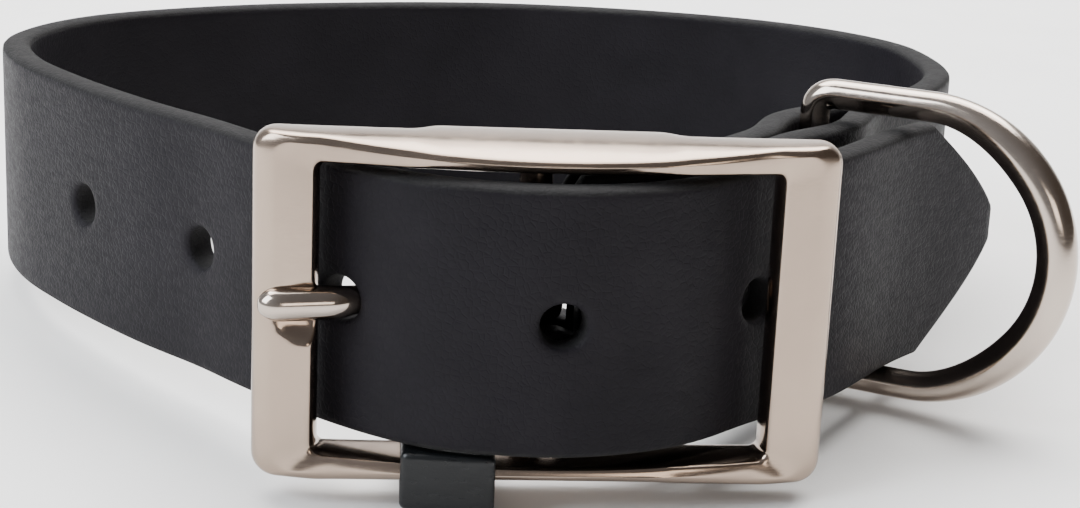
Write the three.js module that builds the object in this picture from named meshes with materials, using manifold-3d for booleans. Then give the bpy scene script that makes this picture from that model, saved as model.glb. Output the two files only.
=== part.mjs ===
// A buckled leather dog collar with a curved nickel buckle and a D-ring, standing on its edge.
// Millimetres. +X runs left to right along the buckle, +Y from the buckle to the back, +Z up.
// The collar is built upright on the strap's lower edge, then tilted to the rest that it finds:
// on the keeper loop under the buckle and on the back of the strap.

import * as THREE from 'three';
import { mergeVertices } from 'three/addons/utils/BufferGeometryUtils.js';
import Module from 'manifold-3d';

const wasm = await Module();
wasm.setup();

// Strap
const strapWidth = 32;
const leather = 4;
const edgeBevel = 0.8;
const tipLength = 17.5;
const tipNose = 2.2;
const tipFullness = 0.72;
const tipToFirstHole = 58.2;
const holePitch = 26.6;
const holeDiameter = 5.2;
const holesOnTail = 2;
const holesOnLoop = 2;
const returnLength = 86;
const foldTabWidth = 25;
const foldTabLength = 3.2;
const foldShoulder = 3;

// Loop, over the middle of the leather
const loopWidth = 136.3;
const loopDepth = 133;

// Buckle
const buckleLength = 68;
const windowLength = 52.6;
const railHeight = 3.7;
const frameDepth = 3.6;
const frameBow = 5.5;
const frameEdge = 0.8;
const railCrown = 1.6;
const bossLength = 32;
const bossDepth = 2.2;
const bossRamp = 3.2;
const cornerRadius = 2.6;
const windowCorner = 1;
const barDiameter = 4;
const barOffset = -1.5;
const buckleTurn = 6;
const crownProud = 2.7;
const windowGapAbove = 0.5;

// Prong
const prongDiameter = 4.1;
const prongTipInset = 0.8;
const prongEyeWall = 1.5;
const prongEyeWidth = 4.4;
const prongRest = -1.8;
const dishLength = 7.4;
const dishHeight = 8.4;
const dishDepth = 2.8;
const dishDrop = 0.9;

// D-ring
const ringWire = 4;
const ringArcWire = 5.3;
const ringSwellLength = 11;
const ringInside = 34;
const ringReach = 32.8;
const ringCorner = 3;
const ringFromBar = 57;
const ringOpen = -25;
const ringRise = 0.5;
const pocketLength = 27;

// Keeper loop
const keeperWidth = 11;
const keeperLeather = 1.1;
const keeperSlack = 0.9;
const keeperCentre = -11;

// Rivets
const rivetShank = 3;
const rivetHead = 7.4;
const rivetDome = 1.3;
const rivetFromBar = 26;
const rivetPastRing = 18;

// Clearances
const gap = 0.35;
const layerGap = 0.35;
const prongGap = 0.4;
const rivetGap = 0.5;

// Plan of the leather's middle line. Front rows are shares of half the buckle's length, the
// others are shares of the loop's width and depth. Both start from the front of the bend over
// the centre bar, and run from beyond the tail's tip, leftwards over the buckle and round.
const tailPlan = [
  { across: 0.53, back: 0.585 },
  { across: 0.442, back: 0.455 },
  { across: 0.353, back: 0.347 },
  { across: 0.318, back: 0.298 },
  { across: 0.252, back: 0.189 },
];
const frontPlan = [
  { across: 0.705, back: 0.43 },
  { across: 0.495, back: 0.2 },
  { across: 0.31, back: 0.08 },
  { across: 0.06, back: 0 },
  { across: -0.24, back: 0.004 },
  { across: -0.45, back: 0.062 },
  { across: -0.735, back: 0.245 },
];
const loopPlan = [
  { across: -0.261, back: 0.134 },
  { across: -0.314, back: 0.189 },
  { across: -0.39, back: 0.26 },
  { across: -0.488, back: 0.37 },
  { across: -0.553, back: 0.462 },
  { across: -0.591, back: 0.567 },
  { across: -0.582, back: 0.66 },
  { across: -0.541, back: 0.748 },
  { across: -0.455, back: 0.835 },
  { across: -0.336, back: 0.914 },
  { across: -0.102, back: 1 },
  { across: 0.152, back: 0.994 },
  { across: 0.296, back: 0.936 },
  { across: 0.382, back: 0.843 },
  { across: 0.408, back: 0.748 },
  { across: 0.41, back: 0.65 },
  { across: 0.374, back: 0.542 },
  { across: 0.323, back: 0.451 },
  { across: 0.264, back: 0.346 },
  { across: 0.205, back: 0.24 },
  { across: 0.147, back: 0.15 },
];
// The last stretch to the centre bar, in shares of half the buckle's length from the bar
const basePlan = [
  { across: 0.43, back: 0.19 },
  { across: 0.22, back: 0.045 },
];

// Worked out from the sizes above
const halfStrap = strapWidth / 2;
const halfBuckle = buckleLength / 2;
const keeperRoom = keeperLeather + 2 * gap;
const windowHeight = strapWidth + keeperRoom + windowGapAbove;
const windowMiddle = (strapWidth + windowGapAbove - keeperRoom) / 2;
const frameHeight = windowHeight + 2 * railHeight;
const foldRadius = barDiameter / 2 + gap + leather / 2;
const layerPitch = leather + layerGap;
const faceY = bow(0) + crownProud - leather / 2;
const turn = THREE.MathUtils.degToRad(buckleTurn);
const barY = frameDepth + bossDepth - barDiameter / 2;
const barCentre = fromBuckle(barOffset, barY);

const leatherBlack = new THREE.MeshStandardMaterial({ color: 0x2b272a, roughness: 0.62, metalness: 0 });
const keeperBlack = new THREE.MeshStandardMaterial({ color: 0x1d2022, roughness: 0.5, metalness: 0 });
const nickel = new THREE.MeshStandardMaterial({ color: 0xc3b5a8, roughness: 0.28, metalness: 1 });
const ringNickel = new THREE.MeshStandardMaterial({ color: 0xbfb3a9, roughness: 0.24, metalness: 1 });

// How far the frame's face stands forward at a place along it
function bow(x) {
  const share = Math.min(Math.abs(x) / halfBuckle, 1);
  return frameBow * (1 - share * share);
}

// How far the rails' bosses stand back at a place along the frame
function boss(x) {
  const share = (bossLength / 2 - Math.abs(x)) / bossRamp;
  return bossDepth * THREE.MathUtils.smoothstep(share, 0, 1);
}

// A place of the buckle's own frame in the collar's plan
function fromBuckle(x, y) {
  return new THREE.Vector2(
    x * Math.cos(turn) - y * Math.sin(turn),
    x * Math.sin(turn) + y * Math.cos(turn) + faceY,
  );
}

// Closed solids for joining and cutting, and back again
function solid(geometry) {
  const bare = geometry.clone();
  bare.deleteAttribute('normal');
  bare.deleteAttribute('uv');
  const merged = mergeVertices(bare, 1e-4);
  const corners = merged.index.array;
  const faces = [];
  for (let i = 0; i < corners.length; i += 3) {
    const [a, b, c] = [corners[i], corners[i + 1], corners[i + 2]];
    if (a !== b && b !== c && c !== a) faces.push(a, b, c);
  }
  return new wasm.Manifold(new wasm.Mesh({
    numProp: 3,
    vertProperties: new Float32Array(merged.attributes.position.array),
    triVerts: new Uint32Array(faces),
  }));
}

function shape(manifold) {
  const mesh = manifold.getMesh();
  const geometry = new THREE.BufferGeometry();
  geometry.setAttribute('position', new THREE.BufferAttribute(new Float32Array(mesh.vertProperties), 3));
  geometry.setIndex(new THREE.BufferAttribute(new Uint32Array(mesh.triVerts), 1));
  return geometry;
}

function moveVertices(geometry, change) {
  const place = geometry.attributes.position;
  const point = new THREE.Vector3();
  for (let i = 0; i < place.count; i += 1) {
    point.fromBufferAttribute(place, i);
    change(point);
    place.setXYZ(i, point.x, point.y, point.z);
  }
  return geometry;
}

// A plan line with its length along it: place, heading and inward side at any distance
function measured(points) {
  const far = [0];
  for (let i = 1; i < points.length; i += 1) {
    far.push(far[i - 1] + points[i].distanceTo(points[i - 1]));
  }
  const length = far[far.length - 1];
  function at(distance) {
    const s = THREE.MathUtils.clamp(distance, 0, length);
    let low = 0;
    let high = far.length - 1;
    while (high - low > 1) {
      const middle = (low + high) >> 1;
      if (far[middle] <= s) low = middle;
      else high = middle;
    }
    const share = (s - far[low]) / (far[high] - far[low]);
    const before = points[Math.max(low - 1, 0)];
    const after = points[Math.min(high + 1, points.length - 1)];
    const heading = after.clone().sub(before).normalize();
    return {
      place: points[low].clone().lerp(points[high], share),
      heading,
      inward: new THREE.Vector2(heading.y, -heading.x),
    };
  }
  return { points, far, length, at };
}

// The strap's plan up to the front of the centre bar
function outerRun() {
  const row = (width, depth) => ({ across, back }) => (
    new THREE.Vector3(across * width, back * depth, 0)
  );
  const bar = (item) => new THREE.Vector3(
    barCentre.x + item.across * halfBuckle,
    barCentre.y - foldRadius + item.back * halfBuckle,
    0,
  );
  const end = new THREE.Vector3(barCentre.x, barCentre.y - foldRadius, 0);
  const guide = [
    ...tailPlan.map(row(loopWidth, loopDepth)),
    ...frontPlan.map(row(halfBuckle, halfBuckle)),
    ...loopPlan.map(row(loopWidth, loopDepth)),
    ...basePlan.map(bar),
    end,
    end.clone().add(new THREE.Vector3(-foldRadius, 0, 0)),
  ];
  const curve = new THREE.CatmullRomCurve3(guide, false, 'centripetal');
  const count = 1600;
  const points = [];
  const stop = (guide.length - 2) / (guide.length - 1);
  for (let i = 0; i <= count; i += 1) {
    const point = curve.getPoint((i / count) * stop);
    points.push(new THREE.Vector2(point.x, point.y));
  }
  return measured(points);
}

// How far the two layers part to let the D-ring's bar through
function pocket(distanceFromRing) {
  const share = Math.abs(distanceFromRing) / (pocketLength / 2);
  if (share >= 1) return 0;
  const open = (ringWire + 2 * gap - layerGap) / 2;
  return open * Math.cos((share * Math.PI) / 2) ** 2;
}

const run = outerRun();

// The whole middle line: outer run with its pocket, the fold round the bar, the layer turned back
function wholeLine() {
  const points = [];
  run.points.forEach((point, i) => {
    const fromRing = run.length - run.far[i] - ringFromBar;
    const { inward } = run.at(run.far[i]);
    points.push(point.clone().addScaledVector(inward, -pocket(fromRing)));
  });
  const turns = 24;
  for (let i = 1; i <= turns; i += 1) {
    const angle = -Math.PI / 2 - (Math.PI * i) / turns;
    points.push(new THREE.Vector2(
      barCentre.x + foldRadius * Math.cos(angle),
      barCentre.y + foldRadius * Math.sin(angle),
    ));
  }
  const closing = 16;
  const step = 0.5;
  for (let d = step; d <= returnLength; d += step) {
    const { place, inward } = run.at(run.length - d);
    const open = (2 * foldRadius - layerPitch) * (1 - THREE.MathUtils.smoothstep(d, 0, closing));
    const offset = layerPitch + open + pocket(d - ringFromBar);
    points.push(place.addScaledVector(inward, offset));
  }
  return measured(points);
}

const line = wholeLine();

// Where the leather crosses a place of the buckle's length, on its way over the front
function crossing(x) {
  let best = 0;
  let nearest = Infinity;
  line.points.forEach((point, i) => {
    const off = Math.abs(point.x - x);
    if (point.y < loopDepth * 0.2 && line.far[i] < line.length / 2 && off < nearest) {
      nearest = off;
      best = line.far[i];
    }
  });
  return best;
}

const prongHoleX = -windowLength / 2 + holeDiameter * 0.65;
const prongHoleAt = crossing(prongHoleX);
const tipAt = prongHoleAt - holesOnTail * holePitch - tipToFirstHole;
const foldAt = line.far[run.points.length - 1] + (Math.PI * foldRadius) / 2;

// Half the strap's width at a distance along the middle line
function halfWidthAt(s) {
  const fromTip = s - tipAt;
  let half = halfStrap;
  if (fromTip < tipLength) {
    const share = Math.max(fromTip / tipLength, 0);
    half = Math.min(tipNose / 2 + (halfStrap - tipNose / 2) * share ** tipFullness, halfStrap);
  }
  const fromFold = Math.abs(s - foldAt) - (Math.PI * foldRadius) / 2 - foldTabLength;
  const narrow = 1 - THREE.MathUtils.smoothstep(fromFold, 0, foldShoulder);
  return half - narrow * (halfStrap - foldTabWidth / 2);
}

// Places along the strap, closer together in bends and at the tip
function stations() {
  const longest = 5;
  const bendPull = 11;
  const fine = 0.5;
  const list = [tipAt, tipAt + 0.5, tipAt + 1.2, tipAt + 2.5];
  let used = 0;
  for (let s = tipAt + 2.5; s < line.length; s += fine) {
    const bend = line.at(s + fine).heading.angleTo(line.at(s - fine).heading) / (2 * fine);
    used += fine * (1 + bendPull * Math.abs(bend));
    const shaped = s - tipAt < tipLength + 2 || Math.abs(s - foldAt) < 14;
    if (used >= (shaped ? longest / 2 : longest)) {
      list.push(s);
      used = 0;
    }
  }
  if (line.length - list[list.length - 1] < 1) list.pop();
  list.push(line.length);
  return list;
}

// A flat strip with bevelled edges, bent along the middle line
function strapBlank() {
  const half = leather / 2;
  const section = new THREE.Shape([
    new THREE.Vector2(-half, -halfStrap + edgeBevel),
    new THREE.Vector2(-half + edgeBevel, -halfStrap),
    new THREE.Vector2(half - edgeBevel, -halfStrap),
    new THREE.Vector2(half, -halfStrap + edgeBevel),
    new THREE.Vector2(half, halfStrap - edgeBevel),
    new THREE.Vector2(half - edgeBevel, halfStrap),
    new THREE.Vector2(-half + edgeBevel, halfStrap),
    new THREE.Vector2(-half, halfStrap - edgeBevel),
  ]);
  const places = stations();
  const steps = places.length - 1;
  const strip = new THREE.ExtrudeGeometry(section, { depth: steps, steps, bevelEnabled: false });
  return moveVertices(strip, (point) => {
    const s = places[Math.round(point.z)];
    const { place, inward } = line.at(s);
    const side = Math.sign(point.y);
    const fromEdge = halfStrap - Math.abs(point.y);
    const depth = -point.x;
    point.x = place.x + inward.x * depth;
    point.y = place.y + inward.y * depth;
    const width = Math.max(halfWidthAt(s) - fromEdge, 0.2);
    point.z = halfStrap + side * width;
  });
}

// A round drill at the strap's mid height, from one depth inwards to another
function drill({ place, inward }, radius, from, to) {
  const core = new THREE.CylinderGeometry(radius, radius, to - from, 20);
  core.rotateZ(-Math.PI / 2);
  core.translate((from + to) / 2, 0, 0);
  core.rotateZ(Math.atan2(inward.y, inward.x));
  core.translate(place.x, place.y, halfStrap);
  return solid(core);
}

function placeOnBuckle(geometry) {
  geometry.applyMatrix4(new THREE.Matrix4().makeRotationZ(turn));
  geometry.translate(0, faceY, windowMiddle);
  return geometry;
}

// The prong's middle line, in the buckle's own frame
const prongRoot = new THREE.Vector3(barOffset, barY, halfStrap - windowMiddle);
const prongTip = new THREE.Vector3(-halfBuckle + prongTipInset, prongRest, prongRoot.z);

// A round bar with a rounded tip, from the centre bar to the notch, grown by a clearance
function prongBar(extra) {
  const radius = prongDiameter / 2 + extra;
  const reach = prongTip.distanceTo(prongRoot) + extra;
  const profile = [new THREE.Vector2(0, 0), new THREE.Vector2(radius, 0)];
  const nose = 5;
  for (let i = 0; i <= nose; i += 1) {
    const angle = (Math.PI / 2) * (i / nose);
    profile.push(new THREE.Vector2(
      i === nose ? 0 : radius * Math.cos(angle),
      reach - radius + radius * Math.sin(angle),
    ));
  }
  const bar = new THREE.LatheGeometry(profile, 14);
  const along = prongTip.clone().sub(prongRoot).normalize();
  const aim = new THREE.Quaternion().setFromUnitVectors(new THREE.Vector3(0, 1, 0), along);
  bar.applyQuaternion(aim);
  bar.translate(prongRoot.x, prongRoot.y, prongRoot.z);
  return bar;
}

// A round bar along Z in the centre bar's place
function centreBar(radius, height, middle) {
  const bar = new THREE.CylinderGeometry(radius, radius, height, 24);
  bar.rotateX(Math.PI / 2);
  bar.translate(barOffset, barY, middle);
  return bar;
}

// Corner arcs joined by straight sides that are divided evenly
function roundedOutline(width, height, radius, arcSteps, longest) {
  const corners = [
    { x: width / 2 - radius, y: height / 2 - radius, from: 0 },
    { x: -width / 2 + radius, y: height / 2 - radius, from: Math.PI / 2 },
    { x: -width / 2 + radius, y: -height / 2 + radius, from: Math.PI },
    { x: width / 2 - radius, y: -height / 2 + radius, from: 1.5 * Math.PI },
  ];
  const points = [];
  corners.forEach((corner, i) => {
    for (let k = 0; k <= arcSteps; k += 1) {
      const angle = corner.from + (Math.PI / 2) * (k / arcSteps);
      points.push(new THREE.Vector2(
        corner.x + radius * Math.cos(angle),
        corner.y + radius * Math.sin(angle),
      ));
    }
    const next = corners[(i + 1) % corners.length];
    const start = points[points.length - 1];
    const goal = new THREE.Vector2(
      next.x + radius * Math.cos(next.from),
      next.y + radius * Math.sin(next.from),
    );
    const parts = Math.ceil(start.distanceTo(goal) / longest);
    for (let k = 1; k < parts; k += 1) {
      points.push(start.clone().lerp(goal, k / parts));
    }
  });
  return points;
}

function strap() {
  let body = solid(strapBlank());
  for (let k = -holesOnTail; k <= holesOnLoop; k += 1) {
    const s = prongHoleAt + k * holePitch;
    const reach = leather / 2 + 4 * gap;
    body = body.subtract(drill(line.at(s), holeDiameter / 2, -reach, reach));
  }
  body = body.subtract(solid(placeOnBuckle(prongBar(prongGap))));
  const slotDepth = 2 * foldRadius + leather + 2 * gap;
  const eye = prongEyeWall + 2 * gap + barDiameter / 2;
  const slotLength = foldRadius + leather + eye + 1.5;
  const slot = new THREE.BoxGeometry(slotLength, slotDepth, prongEyeWidth + 4 * gap);
  slot.translate(barOffset - foldRadius - leather + slotLength / 2, barY, prongRoot.z);
  body = body.subtract(solid(placeOnBuckle(slot)));
  rivetPlaces().forEach((fromBar) => {
    const reach = leather / 2 + 2 * gap;
    const spot = run.at(run.length - fromBar);
    body = body.subtract(drill(spot, rivetShank / 2 + rivetGap, -reach, layerPitch + reach));
    const outerHead = -leather / 2 - rivetGap;
    const innerHead = layerPitch + leather / 2 + rivetGap;
    const seat = rivetHead / 2 + gap;
    body = body.subtract(drill(spot, seat, outerHead - rivetDome - gap, outerHead + gap));
    body = body.subtract(drill(spot, seat, innerHead - gap, innerHead + rivetDome + gap));
  });
  return shape(body);
}

function rivetPlaces() {
  return [rivetFromBar, ringFromBar + rivetPastRing];
}

// The cast frame: a bevelled flat frame whose face is bowed and whose rails have bosses behind
function flatFrame() {
  const spacing = 3.2;
  const outline = roundedOutline(buckleLength, frameHeight, cornerRadius, 4, spacing);
  const frame = new THREE.Shape(outline);
  frame.holes.push(new THREE.Path(
    roundedOutline(windowLength, windowHeight, windowCorner, 2, spacing).reverse(),
  ));
  const geometry = new THREE.ExtrudeGeometry(frame, {
    depth: frameDepth - 2 * frameEdge,
    steps: 1,
    bevelEnabled: true,
    bevelThickness: frameEdge,
    bevelSize: frameEdge,
    bevelOffset: -frameEdge,
    bevelSegments: 2,
  });
  geometry.rotateX(Math.PI / 2);
  geometry.translate(0, frameDepth - frameEdge, 0);
  return moveVertices(geometry, (point) => {
    const forward = 1 - THREE.MathUtils.clamp(point.y / frameDepth, 0, 1);
    const share = Math.min(Math.abs(point.x) / (windowLength / 2), 1);
    const outside = Math.abs(point.z) > windowHeight / 2 + railHeight / 2;
    if (outside && forward > 0.5) {
      const crown = railCrown * (1 - share * share) * (forward - 0.5) * 2;
      point.z -= Math.sign(point.z) * crown;
    }
    point.y += boss(point.x) * (1 - forward) - bow(point.x) * forward;
  });
}

function buckleFrame() {
  const bar = centreBar(barDiameter / 2, windowHeight + railHeight, 0);
  let body = solid(flatFrame()).add(solid(bar));
  body = body.subtract(solid(prongBar(gap)));
  const dish = new THREE.SphereGeometry(1, 20, 14);
  dish.scale(dishLength, dishDepth, dishHeight / 2);
  dish.translate(-windowLength / 2, -bow(windowLength / 2) - dishDepth / 3, prongRoot.z - dishDrop);
  body = body.subtract(solid(dish));
  return placeOnBuckle(shape(body));
}

// The prong with its eye round the centre bar
function prong() {
  const ring = centreBar(barDiameter / 2 + gap + prongEyeWall, prongEyeWidth, prongRoot.z);
  const room = centreBar(barDiameter / 2 + gap, 2 * prongEyeWidth, prongRoot.z);
  const body = solid(ring).add(solid(prongBar(0))).subtract(solid(room));
  return placeOnBuckle(shape(body));
}

// Thickens the wire inward round the arc, starting where the limbs end
function thickenArc(geometry, half, limb) {
  const place = geometry.attributes.position;
  for (let i = 0; i < place.count; i += 1) {
    const x = place.getX(i) - limb;
    const z = place.getZ(i);
    const share = THREE.MathUtils.smoothstep(x, 0, ringSwellLength);
    const grown = 1 + (ringArcWire / ringWire - 1) * share;
    const from = Math.hypot(x, z);
    if (share > 0) {
      const to = half + (from - half) * grown - ((ringArcWire - ringWire) / 2) * share;
      place.setXYZ(i, limb + (x * to) / from, place.getY(i) * grown, (z * to) / from);
    }
  }
  return geometry;
}

// One half of the D: from the middle of its bar over a corner and a limb to the end of the arc
function ringHalf(side) {
  const half = (ringInside + ringWire) / 2;
  const limb = ringReach + ringWire / 2 - half;
  const overlap = 1.5;
  const path = new THREE.CurvePath();
  const spot = (x, z) => new THREE.Vector3(x, 0, side * z);
  path.add(new THREE.LineCurve3(spot(0, -overlap), spot(0, half - ringCorner)));
  path.add(new THREE.QuadraticBezierCurve3(
    spot(0, half - ringCorner),
    spot(0, half),
    spot(ringCorner, half),
  ));
  path.add(new THREE.LineCurve3(spot(ringCorner, half), spot(limb, half)));
  const bend = new THREE.Curve();
  const sweep = Math.PI / 2 + overlap / half;
  bend.getPoint = (t, target = new THREE.Vector3()) => {
    const angle = Math.PI / 2 - t * sweep;
    return target.set(limb + half * Math.cos(angle), 0, side * half * Math.sin(angle));
  };
  path.add(bend);
  const sides = 12;
  const section = [];
  for (let i = 0; i < sides; i += 1) {
    const angle = (2 * Math.PI * (i + 0.5)) / sides;
    section.push(new THREE.Vector2(Math.cos(angle), Math.sin(angle)).multiplyScalar(ringWire / 2));
  }
  const wire = new THREE.ExtrudeGeometry(new THREE.Shape(section), { steps: 44, extrudePath: path });
  return solid(thickenArc(wire, half, limb));
}

// The middle of the D-ring's bar, between the parted layers
function ringPlace() {
  const { place, inward } = run.at(run.length - ringFromBar);
  return place.addScaledVector(inward, layerPitch / 2);
}

function dRing() {
  const geometry = shape(ringHalf(1).add(ringHalf(-1)));
  geometry.rotateZ(THREE.MathUtils.degToRad(ringOpen));
  const place = ringPlace();
  geometry.translate(place.x, place.y, halfStrap + ringRise);
  return geometry;
}

// A thin leather loop round the lower rail, following its bowed face
function keeperLoop() {
  const low = -windowHeight / 2 - railHeight - keeperSlack;
  const high = -windowHeight / 2 + gap;
  const front = -gap;
  const rear = frameDepth + bossDepth + gap;
  const ring = new THREE.Shape([
    new THREE.Vector2(front - keeperLeather, low - keeperLeather),
    new THREE.Vector2(rear + keeperLeather, low - keeperLeather),
    new THREE.Vector2(rear + keeperLeather, high + keeperLeather),
    new THREE.Vector2(front - keeperLeather, high + keeperLeather),
  ]);
  ring.holes.push(new THREE.Path([
    new THREE.Vector2(front, low),
    new THREE.Vector2(front, high),
    new THREE.Vector2(rear, high),
    new THREE.Vector2(rear, low),
  ]));
  const geometry = new THREE.ExtrudeGeometry(ring, { depth: keeperWidth, steps: 6, bevelEnabled: false });
  geometry.applyMatrix4(new THREE.Matrix4().set(
    0, 0, 1, keeperCentre - keeperWidth / 2,
    1, 0, 0, 0,
    0, 1, 0, 0,
    0, 0, 0, 1,
  ));
  moveVertices(geometry, (point) => {
    if (point.y < frameDepth / 2) point.y -= bow(point.x);
  });
  return placeOnBuckle(geometry);
}

// A plain rivet through both layers, domed on both faces
function rivet(fromBar) {
  const { place, inward } = run.at(run.length - fromBar);
  const grip = layerPitch + leather + 2 * rivetGap;
  const low = -leather / 2 - rivetGap;
  const head = rivetHead / 2;
  const profile = [
    new THREE.Vector2(0, low - rivetDome),
    new THREE.Vector2(head * 0.6, low - rivetDome * 0.85),
    new THREE.Vector2(head, low - rivetDome * 0.3),
    new THREE.Vector2(head, low),
    new THREE.Vector2(rivetShank / 2, low),
    new THREE.Vector2(rivetShank / 2, low + grip),
    new THREE.Vector2(head, low + grip),
    new THREE.Vector2(head, low + grip + rivetDome * 0.3),
    new THREE.Vector2(head * 0.6, low + grip + rivetDome * 0.85),
    new THREE.Vector2(0, low + grip + rivetDome),
  ];
  const geometry = new THREE.LatheGeometry(profile, 18);
  const along = new THREE.Vector3(inward.x, inward.y, 0);
  geometry.applyQuaternion(new THREE.Quaternion().setFromUnitVectors(new THREE.Vector3(0, 1, 0), along));
  geometry.translate(place.x, place.y, halfStrap);
  return geometry;
}

function named(name, geometry, material) {
  const mesh = new THREE.Mesh(geometry, material);
  mesh.name = name;
  return mesh;
}

const pieces = [
  named('strap', strap(), leatherBlack),
  named('buckle_frame', buckleFrame(), nickel),
  named('prong', prong(), nickel),
  named('d_ring', dRing(), ringNickel),
  named('keeper_loop', keeperLoop(), keeperBlack),
  named('rivet_by_buckle', rivet(rivetPlaces()[0]), nickel),
  named('rivet_by_ring', rivet(rivetPlaces()[1]), nickel),
];

// The rest that the collar finds: the keeper's rear lower edge and the back of the strap level
function restTilt() {
  const keeper = new THREE.Box3().setFromObject(pieces[4]);
  const back = new THREE.Box3().setFromObject(pieces[0]).max.y;
  return Math.atan2(-keeper.min.z, back - keeper.max.y);
}

const upright = new THREE.Group();
upright.add(...pieces);
upright.rotation.x = -restTilt();

const collar = new THREE.Group();
collar.add(upright);
collar.updateMatrixWorld(true);
const box = new THREE.Box3().setFromObject(collar);
const middle = box.getCenter(new THREE.Vector3());
upright.position.set(-middle.x, -middle.y, -box.min.z);
collar.updateMatrixWorld(true);

export default collar;
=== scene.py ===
# Looks for a buckled leather dog collar: a black strap with burnished cut edges, a satin nickel
# frame buckle with its prong, a D-ring and a small keeper loop. Sizes are in millimetres in the
# upright collar, and to_room gives each place in metres where the collar rests.

import math
import bmesh
import bpy
import numpy as np
from mathutils import Matrix, Vector


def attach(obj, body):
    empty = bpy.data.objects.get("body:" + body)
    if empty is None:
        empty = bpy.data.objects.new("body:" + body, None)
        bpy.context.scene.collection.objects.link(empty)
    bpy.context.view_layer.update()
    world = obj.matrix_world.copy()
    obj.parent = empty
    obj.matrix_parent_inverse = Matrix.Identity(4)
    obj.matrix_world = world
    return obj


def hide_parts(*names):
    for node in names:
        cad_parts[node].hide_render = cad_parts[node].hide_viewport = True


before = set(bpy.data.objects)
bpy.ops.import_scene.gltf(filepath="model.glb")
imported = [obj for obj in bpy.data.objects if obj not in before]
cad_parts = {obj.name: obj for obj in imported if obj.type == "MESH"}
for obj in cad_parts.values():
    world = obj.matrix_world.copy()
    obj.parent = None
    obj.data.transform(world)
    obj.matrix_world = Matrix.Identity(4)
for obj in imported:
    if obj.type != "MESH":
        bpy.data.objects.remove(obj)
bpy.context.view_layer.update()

# Strap
STRAP_WIDTH = 32
LEATHER = 4
TIP_LENGTH = 17.5
TIP_NOSE = 2.2
TIP_FULLNESS = 0.72
TIP_THINNING = 1.3
TIP_END_DEPTH = 0.12
TIP_TO_FIRST_HOLE = 58.2
HOLE_PITCH = 26.6
HOLE_DIAMETER = 5.2
PRONG_HOLE_STRETCH = 0.35
RETURN_LENGTH = 86
FOLD_TAB_WIDTH = 25
FOLD_TAB_LENGTH = 3.2
FOLD_SHOULDER = 3
SLOT_HALF_WIDTH = 3.6
SLOT_PAST_FOLD = 5.7
EDGE_ROUND = 1.1
LOOP_WIDTH = 136.3
LOOP_DEPTH = 133
LAYERS_CLOSE_OVER = 16

# The strap's skin: how fine its plan line and cells are, the even block of cells round each
# hole, and the rows across it as distances from its middle
PLAN_STEPS = 1600
FOLD_STEPS = 24
RETURN_STEP = 0.5
STRAP_CELL = 1.7
TIP_CELL = 1.1
SLOT_CELLS = 34
HOLE_CELLS = 8
HOLE_BLOCK = 4.8
EDGE_TURNS = 9
ROWS = [-14.9, -14.2, -13, -11.4, -9.6, -8, -6.4, -HOLE_BLOCK, -SLOT_HALF_WIDTH, -2.4, -1.2, 0]
ROWS += [-v for v in reversed(ROWS[:-1])]
BLOCK_ROWS = (ROWS.index(-HOLE_BLOCK), ROWS.index(HOLE_BLOCK))
SLOT_ROWS = (ROWS.index(-SLOT_HALF_WIDTH), ROWS.index(SLOT_HALF_WIDTH))

# A punched hole from its soft lip on the grain side, -1, to the flesh side, 1: the side, how far
# past the hole's radius, and how deep under that face
HOLE_WALL = [
    (-1, 1.5, 0), (-1, 0.9, 0.05), (-1, 0.5, 0.16), (-1, 0.22, 0.34), (-1, 0.06, 0.6),
    (-1, 0, 0.95), (-1, 0, 1.6), (1, 0, 1.3), (1, 0, 0.6), (1, 0.08, 0.28), (1, 0.3, 0.1),
    (1, 0.9, 0),
]

# Buckle and prong
BUCKLE_LENGTH = 68
WINDOW_LENGTH = 52.6
RAIL_HEIGHT = 3.7
FRAME_DEPTH = 3.6
FRAME_BOW = 5.5
RAIL_CROWN = 1.6
BOSS_LENGTH = 32
BOSS_DEPTH = 2.2
BOSS_RAMP = 3.2
CORNER_RADIUS = 2.6
WINDOW_CORNER = 1
BAR_DIAMETER = 4
BAR_OFFSET = -1.5
BUCKLE_TURN = math.radians(6)
CROWN_PROUD = 2.7
RAIL_CRISPNESS = 0.5
SIDE_RIDGE = 0.5
SIDE_RIDGE_LINE = 0.3
SIDE_RIDGE_FROM = 24
SIDE_RIDGE_RAMP = 5
WINDOW_GAP_ABOVE = 0.5
PRONG_DIAMETER = 4.1
PRONG_TIP_INSET = 0.8
PRONG_EYE_WALL = 1.5
PRONG_EYE_WIDTH = 4.4
PRONG_REST = -1.8
PRONG_NOSE = 1.35
PRONG_ROOT_SHARE = 0.74
PRONG_WIDENS = (18, 7)
PRONG_DIP = 1.9
PRONG_DIPS_BEFORE = (23.2, 5.2)
PRONG_RISES_BEFORE = (14, 8)
DISH = (7.4, 2.8, 4.2)
DISH_DROP = 0.9

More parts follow.
